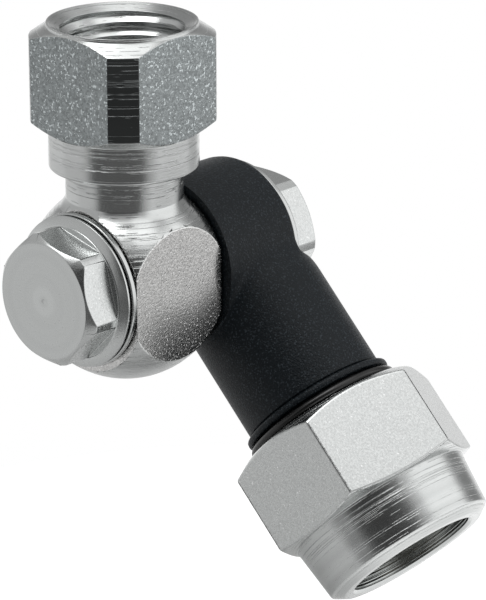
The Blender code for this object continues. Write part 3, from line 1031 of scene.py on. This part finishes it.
@dataclass
class PivotBolt(Assembly):
    """The hollow bolt through the ball and the arm, with its washers and cap nut."""

    hex_af: float = 16.0
    corner_r: float = 8.9
    face_r: float = 7.8
    chamfer: float = 1.1
    face: float = -15.2
    hex_foot: float = -10.3
    flange: float = -9.4
    flange_r: float = 10.2
    flange_rim: float = 0.35
    cone_r: float = 9.1
    shank_r: float = 6.3
    shoulder: float = 22.5
    stud_r: float = 5.0
    stud_end: float = 27.4
    bore_r: float = 2.75
    bore_start: float = -4.0
    centre_r: float = 0.35
    centre_depth: float = 0.15
    head_turn: float = 14.5
    cap_turn: float = 4.0
    washer_t: float = 0.8
    seal_washer_r: float = 10.4
    outer_washer_r: float = 10.9
    washer_bore: float = 6.6
    washer_gap: float = 0.3
    cap_floor: float = 27.7
    cap_face: float = 29.05
    cap_face_r: float = 7.3
    cap_foot: float = 22.8
    cap_hex: float = 23.9
    cap_bore: float = 5.3
    cap_recess: float = 1.0
    edge: float = 0.1

    def head(self) -> None:
        """Builds the bolt."""
        profile = [
            (0.0, self.bore_start),
            (self.bore_r, self.bore_start),
            (self.bore_r, self.stud_end),
            (self.stud_r, self.stud_end, 0.4),
            (self.stud_r, self.shoulder),
            (self.shank_r, self.shoulder, 0.2),
            (self.shank_r, self.flange),
            (self.flange_r, self.flange, 0.12),
            (self.flange_r, self.flange - self.flange_rim, 0.12),
            (self.cone_r, self.hex_foot, 0.1),
            (self.corner_r, self.hex_foot),
            (self.corner_r, self.face + self.chamfer, 0.15),
            (self.face_r, self.face, 0.15),
            (self.centre_r, self.face, 0.05),
            (0.0, self.face + self.centre_depth),
        ]
        outline = polygon(6, self.hex_af, self.head_turn)
        bolt = Solid.turned("pivot_bolt", profile)
        bolt.mill(outline, self.face - PAST, self.hex_foot - SKIM)
        bolt.dress(self.finishes, milled_sides(outline, self.face, self.hex_foot))
        bolt.break_edges(self.edge)
        bolt.hand_over(self.axes.bolt, "inlet", "turned_steel", "hollow_bolt")

    def cap(self) -> None:
        """Builds the cap nut on the far side."""
        recess = self.cap_foot + self.cap_recess
        profile = [
            (0.0, self.cap_face - self.centre_depth),
            (self.centre_r, self.cap_face, 0.05),
            (self.cap_face_r, self.cap_face, 0.15),
            (self.corner_r, self.cap_face - self.chamfer, 0.15),
            (self.corner_r, self.cap_hex),
            (self.cone_r, self.cap_hex, 0.1),
            (self.flange_r, self.cap_foot + self.flange_rim, 0.12),
            (self.flange_r, self.cap_foot, 0.12),
            (self.washer_bore, self.cap_foot),
            (self.washer_bore, recess),
            (self.cap_bore, recess),
            (self.cap_bore, self.cap_floor),
            (0.0, self.cap_floor),
        ]
        outline = polygon(6, self.hex_af, self.cap_turn)
        nut = Solid.turned("closed_cap_nut", profile)
        nut.mill(outline, self.cap_hex + SKIM, self.cap_face + PAST)
        nut.dress(self.finishes, milled_sides(outline, self.cap_hex, self.cap_face))
        nut.break_edges(self.edge)
        nut.hand_over(self.axes.bolt, "inlet", "turned_steel", "cap_nut")

    def washer(self, name: str, node: str, outer: float, low: float) -> None:
        """Builds a washer with rounded rims.

        Args:
            name: The piece's name.
            node: The node that it stands for.
            outer: Its outer radius.
            low: The place of its lower face.
        """
        high, inner = low + self.washer_t, self.washer_bore
        section = [(outer, high, 0.2), (outer, low, 0.2), (inner, low, 0.1), (inner, high, 0.1)]
        ring = Solid.turned(name, section)
        ring.cover(self.finishes[Face.TURNED])
        ring.hand_over(self.axes.bolt, "inlet", "turned_steel", node)

    def build(self) -> None:
        """Builds the bolt, its nut and its washers."""
        self.head()
        self.cap()
        seal, outer = self.flange + self.washer_gap, self.shoulder - self.washer_t
        self.washer("seal_washer", "bolt_seal_washer", self.seal_washer_r, seal)
        self.washer("thrust_washer", "outer_thrust_washer", self.outer_washer_r, outer)


@dataclass
class Arm(Assembly):
    """The black arm: its round head on the bolt, and the branch to the hose."""

    branch_y: float = 17.56
    branch_r: float = 10.05
    dome_end: float = 11.0
    dome_length: float = 12.5
    dome_steps: int = 30
    branch_end: float = 25.6
    groove_r: float = 9.85
    rim_start: float = 26.0
    rim_end: float = 27.0
    rim_r: float = 10.9
    relief_r: float = 9.8
    nut_start: float = 28.85
    spigot_r: float = 9.6
    spigot_end: float = 38.1
    head_r: float = 11.5
    head_near: float = 8.3
    head_far: float = 21.4
    head_allowance: float = 0.6
    head_edge: float = 0.5
    fillet: float = 1.3
    spacing: float = 0.38
    cast_end: float = 22.0
    spot_face_r: float = 12.0
    pivot_bore: float = 6.6
    recess_r: float = 9.5
    recess: float = 1.2
    seat_r: float = 7.6
    seat_start: float = 24.0
    bore_r: float = 5.0
    bore_start: float = 15.0
    bore_tip: float = 12.0

    def head_ends(self) -> tuple[float, float]:
        """Returns the ends of the cast head across the branch, before its near face is cut."""
        return self.head_near - self.head_allowance - self.branch_y, self.head_far - self.branch_y

    def distance(self, point: Vector) -> float:
        """Measures how far a point lies outside the casting, whose head runs into its branch.

        Args:
            point: The point, in the branch's millimetres. The bolt's axis is its Y.

        Returns:
            The distance, or a negative number inside.
        """
        near, far = self.head_ends()
        far += SKIM
        out = math.hypot(point.x, point.z) - (self.head_r - self.head_edge)
        up = abs(point.y - (near + far) / 2) - ((far - near) / 2 - self.head_edge)
        head = min(max(out, up), 0.0) + math.hypot(max(out, 0.0), max(up, 0.0)) - self.head_edge
        if point.z >= self.dome_end:
            branch = math.hypot(point.x, point.y) - self.branch_r
        else:
            across, deep = self.branch_r, self.dome_length
            scaled = Vector((point.x / across, point.y / across, (point.z - self.dome_end) / deep))
            slope = Vector((scaled.x / across, scaled.y / across, scaled.z / deep))
            branch = scaled.length * (scaled.length - 1) / max(slope.length, TINY)
        overlap = max(self.fillet - abs(head - branch), 0.0) / self.fillet
        return min(head, branch) - overlap * overlap * self.fillet / 4

    def casting(self) -> Solid:
        """Casts the head and the upper branch, with the soft crease between them.

        Returns:
            The casting.
        """
        foot = self.dome_end - self.dome_length
        turns = [math.pi / 2 * i / self.dome_steps for i in range(1, self.dome_steps)]
        dome = [
            (self.branch_r * math.cos(a), self.dome_end - self.dome_length * math.sin(a))
            for a in turns
        ]
        start = self.cast_end + PAST
        sides = [(0.0, start), (self.branch_r, start), (self.branch_r, self.dome_end)]
        bar = Solid.turned("swivel_arm_casting", [*sides, *dome, (0.0, foot)])
        near, far = self.head_ends()
        disc = [(0.0, far), (self.head_r, far), (self.head_r, near), (0.0, near)]
        head = Solid.turned("head", disc)
        bar.combine(head.move(Matrix.Rotation(-math.pi / 2, 4, "X")), Cut.TOGETHER)
        return bar.cast(self.spacing, self.distance, self.cast_end)

    def socket(self) -> Solid:
        """Turns the end of the branch, with its rim and spigot.

        Returns:
            The socket.
        """
        profile = [
            (self.branch_r, self.cast_end),
            (self.bore_r, self.cast_end),
            (self.bore_r, self.seat_start),
            (self.seat_r, self.seat_start),
            (self.seat_r, self.spigot_end, 0.1),
            (self.spigot_r, self.spigot_end, 0.4),
            (self.spigot_r, self.nut_start),
            (self.relief_r, self.nut_start),
            (self.relief_r, self.rim_end, 0.1),
            (self.rim_r, self.rim_end, 0.4),
            (self.rim_r, self.rim_start, 0.4),
            (self.groove_r, self.rim_start, 0.1),
            (self.groove_r, (self.rim_start + self.branch_end) / 2, 0.05),
            (self.branch_r, self.branch_end, 0.15),
        ]
        return Solid.turned("socket", profile[::-1])

    def build(self) -> None:
        """Builds the arm and puts it into the frame."""
        arm = self.casting()
        outside = self.branch_r + PAST
        floor = self.head_near + self.recess
        machining = Solid.turned(
            "machining",
            [
                (0.0, self.branch_y + outside),
                (self.spot_face_r, self.branch_y + outside),
                (self.spot_face_r, self.head_far),
                (self.pivot_bore, self.head_far),
                (self.pivot_bore, floor),
                (self.recess_r, floor),
                (self.recess_r, self.head_near),
                (self.spot_face_r, self.head_near),
                (self.spot_face_r, self.branch_y - outside),
                (0.0, self.branch_y - outside),
            ],
        )
        arm.combine(machining.move(self.axes.bolt.into(self.axes.branch)), Cut.AWAY)
        end = self.cast_end + PAST
        bore_r, start = self.bore_r, self.bore_start
        bore = [(0.0, end), (bore_r, end), (bore_r, start), (0.0, self.bore_tip)]
        arm.combine(Solid.turned("drill", bore, BORE_STEPS), Cut.AWAY)
        arm.add_shell(self.socket())
        arm.cover(self.finishes[Face.CAST])
        arm.hand_over(self.axes.branch, "swivel_arm", "black_coat", "arm")


@dataclass
class HoseEnd(Assembly):
    """The hose nut and the dust ring behind it."""

    nut_af: float = 27.0
    nut_turn: float = 54.43
    nut_start: float = 28.85
    face_r: float = 12.8
    chamfer: float = 30.0
    hex_end: float = 42.4
    hex_end_chamfer: float = 18.0
    taper_start_r: float = 12.9
    taper_end_r: float = 12.2
    taper_end: float = 49.7
    mouth: float = 50.67
    rim_r: float = 10.65
    land_r: float = 9.32
    mouth_r: float = 8.95
    bore_r: float = 10.95
    lead_in: float = 0.3
    thread_end: float = 41.8
    clamp_end: float = 43.65
    ring_middle: float = 27.9
    ring_r: float = 10.6
    ring_section: float = 0.6
    ring_steps: int = 23
    edge: float = 0.26

    def nut(self) -> None:
        """Builds the hose nut."""
        slope = math.tan(math.radians(self.chamfer))
        end_slope = math.tan(math.radians(self.hex_end_chamfer))
        corner_r = self.nut_af / 2 / math.cos(math.pi / 6) + SKIM
        profile = [
            (self.land_r, self.mouth, 0.08),
            (self.rim_r, self.mouth, 0.12),
            (self.taper_end_r, self.taper_end, 0.3),
            (self.taper_start_r, self.hex_end, 0.1),
            (corner_r, self.hex_end - (corner_r - self.taper_start_r) * end_slope),
            (corner_r, self.nut_start + (corner_r - self.face_r) * slope),
            (self.face_r, self.nut_start, 0.1),
            (self.bore_r + self.lead_in, self.nut_start),
            (self.bore_r, self.nut_start + self.lead_in),
            (self.bore_r, self.thread_end),
            (self.mouth_r, self.clamp_end, 0.1),
            (self.mouth_r, self.mouth - (self.land_r - self.mouth_r), 0.1),
        ]
        outline = polygon(6, self.nut_af, self.nut_turn)
        nut = Solid.turned("hose_union_nut", profile)
        nut.mill(outline, self.nut_start - PAST, self.hex_end + PAST)
        on_hex = milled_sides(outline, self.nut_start, self.hex_end)

        def pick(middle: Vector, normal: Vector) -> Face:
            """Tells the mouth's bored wall from the flats and the turned outside."""
            in_mouth = middle.z > self.thread_end and middle.xy.length < self.mouth_r + NEAR
            return Face.BORED if in_mouth else on_hex(middle, normal)

        nut.dress(self.finishes, pick)
        nut.break_edges(self.edge)
        nut.hand_over(self.axes.branch, "nut", "nickel_plate", "hose_nut")

    def build(self) -> None:
        """Builds the nut and the dust ring."""
        self.nut()
        last = 360 / (self.ring_steps + 1) - 360
        centre = (self.ring_r, self.ring_middle)
        section = arc(centre, self.ring_section, 0.0, last, self.ring_steps)
        ring = Solid.turned("rubber_dust_ring", section)
        ring.cover(self.finishes[Face.MOULDED])
        ring.hand_over(self.axes.branch, "swivel_arm", "black_rubber", "dust_ring")


@dataclass(frozen=True)
class Panel:
    """A soft wall of the studio, as seen from the object.

    Attributes:
        turn: Its left and right ends, in degrees from the photograph's side.
        rise: Its lower and upper ends, in degrees.
        level: Its brightness.
        soft: Half the width of its soft edge, in degrees.
    """

    turn: tuple[float, float]
    rise: tuple[float, float]
    level: float
    soft: float = 6.0

    def mask(self, wire: Wiring, turn: Socket, rise: Socket) -> Socket:
        """Finds the panel.

        Args:
            wire: The world's nodes.
            turn: The direction's own turn.
            rise: The direction's own rise.

        Returns:
            How much of the panel each direction sees.
        """
        share: object = 1.0
        for value, (low, high) in ((turn, self.turn), (rise, self.rise)):
            for end, soft in ((low, self.soft), (high, -self.soft)):
                share = wire.math("MULTIPLY", share, wire.ramp(value, end - soft, end + soft))
        return share


class Studio:
    """The camera, the lamp, the world and the floor."""

    walls = 0.55
    floor_lift = 0.6
    panels = (
        Panel((50.0, 118.0), (-16.0, 50.0), 1.25),
        Panel((62.0, 112.0), (-30.0, -22.0), 0.1),
        Panel((-98.0, -60.0), (-34.0, 0.0), 0.65),
        Panel((150.0, 200.0), (-30.0, 5.0), 1.0),
        Panel((-200.0, -155.0), (-30.0, 5.0), 1.0),
        Panel((-148.0, -98.0), (-32.0, 5.0), 0.75),
        Panel((150.0, 200.0), (7.0, 62.0), 0.33),
        Panel((-200.0, -140.0), (7.0, 62.0), 0.33),
        Panel((120.0, 152.0), (-5.0, 30.0), 0.28),
        Panel((130.0, 160.0), (36.0, 60.0), 0.7),
        Panel((-200.0, 60.0), (-100.0, -34.0), 0.4),
        Panel((60.0, 200.0), (-100.0, -34.0), 1.0),
        Panel((92.0, 132.0), (-62.0, -32.0), 1.4, 4.0),
        Panel((-52.0, 36.0), (-34.0, -4.0), 0.12),
        Panel((-42.0, 32.0), (-4.0, 45.0), 0.05),
        Panel((20.0, 75.0), (50.0, 70.0), 1.4),
        Panel((-200.0, 200.0), (62.0, 100.0), 1.5),
    )
    right = Vector((0.73249, 0.68077, -0.00217))
    up = Vector((-0.22167, 0.24152, 0.94474))
    back = Vector((0.64368, -0.69153, 0.32782))
    offset = Vector((15.614, -3.445, 467.97))
    lens = 210.9
    sensor = 36.0
    clip = (0.01, 20.0)
    floor_drop = 0.015
    floor_shift = Vector((0.015, 0.01, 0.0))
    floor_r = 0.09
    floor_sides = 96
    floor_colour = (0.6, 0.6, 0.6, 1.0)
    mirrored_from = (0.02, 0.045)
    lamp_place = Vector((-0.15, -0.25, 0.75))
    lamp_size = 0.5
    lamp_power = 2.0

    def camera(self, pivot: Vector) -> None:
        """Places the camera at the photograph's viewing angle.

        Args:
            pivot: Where the inlet's and the bolt's axes cross.
        """
        data = bpy.data.cameras.new("camera")
        data.lens = self.lens
        data.sensor_width = self.sensor
        data.clip_start, data.clip_end = self.clip
        camera = bpy.data.objects.new("camera", data)
        basis = Matrix((self.right, self.up, self.back)).transposed()
        place = basis @ self.offset * MM + pivot
        camera.matrix_world = Matrix.Translation(place) @ basis.to_4x4()
        bpy.context.scene.collection.objects.link(camera)
        bpy.context.scene.camera = camera

    def lamp(self, aim: Vector) -> None:
        """Adds the soft lamp overhead.

        Args:
            aim: The point that it faces.
        """
        data = bpy.data.lights.new("overhead", "AREA")
        data.shape = "SQUARE"
        data.size = self.lamp_size
        data.energy = self.lamp_power
        lamp = bpy.data.objects.new("overhead", data)
        lamp.location = self.lamp_place
        lamp.rotation_mode = "QUATERNION"
        lamp.rotation_quaternion = (aim - self.lamp_place).to_track_quat("-Z", "Y")
        bpy.context.scene.collection.objects.link(lamp)

    def surroundings(self, wire: Wiring) -> Socket:
        """Lays the studio's soft walls out round the object.

        Args:
            wire: The world's nodes.

        Returns:
            How bright each direction is.
        """
        way = wire.add("ShaderNodeTexCoord").outputs["Generated"]
        front = Vector((self.back.x, self.back.y, 0.0)).normalized()
        towards = wire.vector("DOT_PRODUCT", way, tuple(front))
        aside = wire.vector("DOT_PRODUCT", way, (-front.y, front.x, 0.0))
        height = wire.add("ShaderNodeSeparateXYZ", {0: way}).outputs[2]
        turn = wire.math("DEGREES", wire.math("ARCTAN2", aside, towards))
        rise = wire.math("DEGREES", wire.math("ARCSINE", height))
        level: object = self.walls
        for panel in self.panels:
            inputs = {"Factor": panel.mask(wire, turn, rise), 2: level, 3: panel.level}
            level = wire.add("ShaderNodeMix", inputs).outputs[0]
        return level

    def world(self) -> None:
        """Lights the object from all round, and shows white to camera and transmission rays."""
        world = bpy.data.worlds.new("studio")
        bpy.context.scene.world = world
        world.use_nodes = True
        wire = Wiring(world.node_tree)
        world.node_tree.nodes.clear()
        rays = wire.add("ShaderNodeLightPath").outputs
        walls = {"Color": WHITE, "Strength": self.surroundings(wire)}
        studio = wire.add("ShaderNodeBackground", walls)
        white = wire.add("ShaderNodeBackground", {"Color": WHITE, "Strength": 1.0})
        seen = wire.math("MAXIMUM", rays["Is Camera Ray"], rays["Is Transmission Ray"])
        both = wire.add("ShaderNodeMixShader", {0: seen, 1: studio.outputs[0], 2: white.outputs[0]})
        end = wire.add("ShaderNodeOutputWorld")
        wire.set(end.inputs["Surface"], both.outputs[0])

    def floor(self, middle: Vector) -> None:
        """Lays a plain pale round floor, which bright metal shows on the object's right.

        Args:
            middle: The floor's middle.
        """
        mesh = bpy.data.meshes.new("floor")
        rim = []
        for i in range(self.floor_sides):
            a = FULL_TURN * i / self.floor_sides
            rim.append(middle + Vector((math.cos(a), math.sin(a), 0.0)) * self.floor_r)
        mesh.from_pydata(rim, [], [tuple(range(self.floor_sides))])
        floor = bpy.data.objects.new("floor", mesh)
        bpy.context.scene.collection.objects.link(floor)
        material = bpy.data.materials.new("floor")
        material.use_nodes = True
        wire = Wiring(material.node_tree)
        material.node_tree.nodes.clear()
        rays = wire.add("ShaderNodeLightPath").outputs
        pale = wire.add("ShaderNodeBsdfDiffuse", {"Color": self.floor_colour})
        place = wire.add("ShaderNodeTexCoord").outputs["Object"]
        aside = wire.vector("DOT_PRODUCT", place, (self.right.x, self.right.y, 0.0))
        there = wire.ramp(aside, *self.mirrored_from)
        mirrored = wire.math("MULTIPLY", rays["Is Glossy Ray"], there)
        shown = wire.math("MAXIMUM", rays["Is Camera Ray"], mirrored)
        lift = wire.math("MULTIPLY", shown, self.floor_lift)
        white = wire.add("ShaderNodeEmission", {"Color": WHITE, "Strength": lift})
        both = wire.add("ShaderNodeAddShader", {0: pale.outputs[0], 1: white.outputs[0]})
        end = wire.add("ShaderNodeOutputMaterial")
        wire.set(end.inputs["Surface"], both.outputs[0])
        mesh.materials.append(material)
        floor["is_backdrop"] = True

    def build(self, pivot: Vector, lowest: float) -> None:
        """Sets up the studio.

        Args:
            pivot: Where the inlet's and the bolt's axes cross.
            lowest: The height of the object's lowest point.
        """
        bpy.context.scene.view_settings.view_transform = "Standard"
        self.camera(pivot)
        self.world()
        self.floor(Vector((pivot.x, pivot.y, lowest - self.floor_drop)) + self.floor_shift)
        self.lamp(pivot)


def build_finishes(axes: Axes) -> dict[str, Material]:
    """Builds the shader groups and the joint's materials.

    Args:
        axes: The joint's axes, which the turning marks run round.

    Returns:
        The materials by name.
    """
    turning_marks()
    metal_grain()
    finishes = (
        MetalFinish(
            "turned_nickel_inlet", NICKEL, 0.2, 0.006, 0.2,
            axis=axes.inlet, marks=0.008, breaks=1.0, scratch=0.055,
        ),
        MetalFinish("turned_nickel_bolt", NICKEL, 0.24, 0.006, 0.2, axis=axes.bolt, marks=0.005),
        MetalFinish(
            "turned_nickel_nut", NICKEL, 0.22, 0.006, 0.2,
            axis=axes.branch, marks=0.004, spacing=0.2, scratch=0.05,
        ),
        # The nut's mouth: the same nickel painted darker, as painted shade inside the bore.
        MetalFinish(
            "bored_nickel_nut_painted_shade", (0.5, 0.52, 0.51), 0.2, 0.006, 0.2,
            axis=axes.branch, marks=0.16, breaks=0.3,
        ),
        # The ball's flats: the same nickel painted lighter, as painted light, with painted glints.
        MetalFinish(
            "milled_nickel_painted_light", (0.78, 0.775, 0.765), 0.24, 0.018, 0.3, 0.6, pit=0.04, shade=0.7
        ),
        # The block's flats: the same nickel painted darker and bluish, as painted shade and a
        # painted reflection's tint, with painted glints.
        MetalFinish(
            "coarse_nickel_painted_shade", (0.35, 0.378, 0.383), 0.26, 0.02, 0.34, 0.66, pit=0.04, shade=0.65
        ),
        # The hex flats get painted glints.
        MetalFinish("milled_nickel_hex", NICKEL, 0.28, 0.004, 0.25, 0.3),
        # The block's round corners: the same nickel painted nearly black, as a painted dark
        # reflection.
        MetalFinish(
            "bar_skin_painted_dark", (0.17, 0.18, 0.18), 0.14, 0.002,
            axis=axes.inlet, marks=0.004, spacing=0.45, breaks=1.0, scratch=0.05,
        ),
        MetalFinish(
            "plated_brass", (0.46, 0.43, 0.38), 0.25, 0.003, 0.2,
            axis=axes.branch, marks=0.03, spacing=0.5, scratch=0.05,
        ),
        # The coat's specks are painted glints.
        CoatFinish("black_coat", (0.004, 0.007, 0.0095), 0.42, 0.09, 0.24, 0.65, gloss=0.21),
        CoatFinish("black_rubber", (0.006, 0.006, 0.006), 0.25),
        CoatFinish("slide_ring", (0.75, 0.75, 0.72), 0.45),
    )
    return {finish.name: finish.build() for finish in finishes}


def dress_inside(nodes: dict[str, bpy.types.Object], made: dict[str, Material]) -> None:
    """Dresses the plain solids that stay inside the joint.

    Args:
        nodes: The frame's nodes by name.
        made: The materials by name.
    """
    inside = {
        "plated_brass": ("hose_tail", "clamp_ring"),
        "slide_ring": ("inner_thrust_washer",),
        "black_rubber": (
            "ball_o_ring",
            "arm_o_ring_inner",
            "arm_o_ring_outer",
            "tail_o_ring",
            "cap_nut_seal",
        ),
    }
    for finish, names in inside.items():
        for name in names:
            mesh = nodes[name].data
            mesh.materials.clear()
            mesh.materials.append(made[finish])


def main() -> None:
    """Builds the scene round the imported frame."""
    logging.basicConfig(level=logging.INFO, format="%(name)s: %(message)s")
    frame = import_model()
    solid_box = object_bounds()
    axes = Axes(frame)
    Studio().build(axes.inlet.origin, solid_box[0].z)
    made = build_finishes(axes)
    # The flats and corners of the inlet get copies of the nickel painted lighter or darker, as
    # painted light and shade.
    on_inlet = {
        Face.TURNED: made["turned_nickel_inlet"],
        Face.MILLED: made["milled_nickel_painted_light"],
        Face.COARSE: made["coarse_nickel_painted_shade"],
        Face.BAR_SKIN: made["bar_skin_painted_dark"],
    }
    on_bolt = {Face.TURNED: made["turned_nickel_bolt"], Face.MILLED: made["milled_nickel_hex"]}
    on_nut = {
        Face.TURNED: made["turned_nickel_nut"],
        Face.MILLED: made["milled_nickel_hex"],
        # The mouth's bore is painted darker, as painted shade.
        Face.BORED: made["bored_nickel_nut_painted_shade"],
        Face.MOULDED: made["black_rubber"],
    }
    InletBody(axes, on_inlet).build()
    PivotBolt(axes, on_bolt).build()
    Arm(axes, {Face.CAST: made["black_coat"]}).build()
    HoseEnd(axes, on_nut).build()
    inlet_thread = Thread("inlet_thread", 8.65, 1.814, 5.0, 0.85, 24.2)
    inlet_thread.wind(axes.inlet, made["turned_nickel_inlet"], "inlet", "nickel_plate")
    spigot_thread = Thread("spigot_thread", 9.55, 1.5, 4.8, 0.6, 29.9)
    spigot_thread.wind(axes.branch, made["black_coat"], "swivel_arm", "black_coat")
    dress_inside(frame["nodes"], made)


if __name__ == "__main__":
    main()
